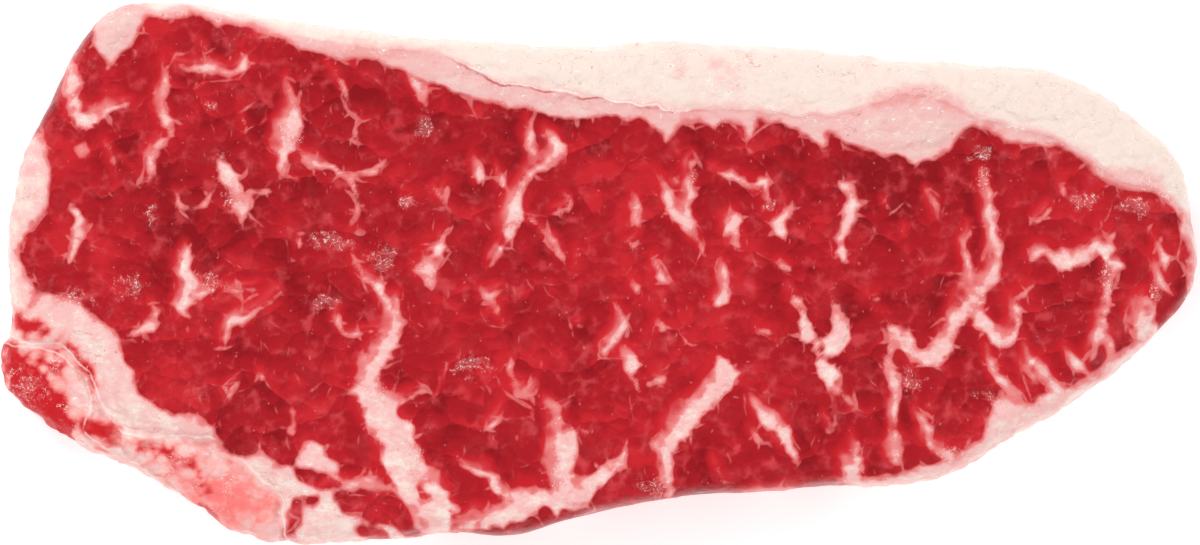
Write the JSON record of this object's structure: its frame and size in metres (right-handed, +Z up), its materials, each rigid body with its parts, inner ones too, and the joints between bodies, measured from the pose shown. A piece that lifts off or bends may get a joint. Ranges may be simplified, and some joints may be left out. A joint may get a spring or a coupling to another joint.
{
  "type": "raw beef strip steak",
  "caption": "Raw boneless beef strip steak lying flat: marbled red lean, a thick fat cap along one long edge and a fatty flap rolled at one corner.",
  "frame": {"origin": "centre of the bounding box at the face the steak lies on", "axes": "+X along the length towards the thin tail end, +Y across towards the fat cap, +Z up out of the cut face"},
  "size_m": [0.22, 0.0996, 0.0264],
  "materials": {
    "raw_meat": "moist, marbled"
  },
  "bodies": {
    "root": {"steak": "raw_meat"}
  },
  "joints": []
}
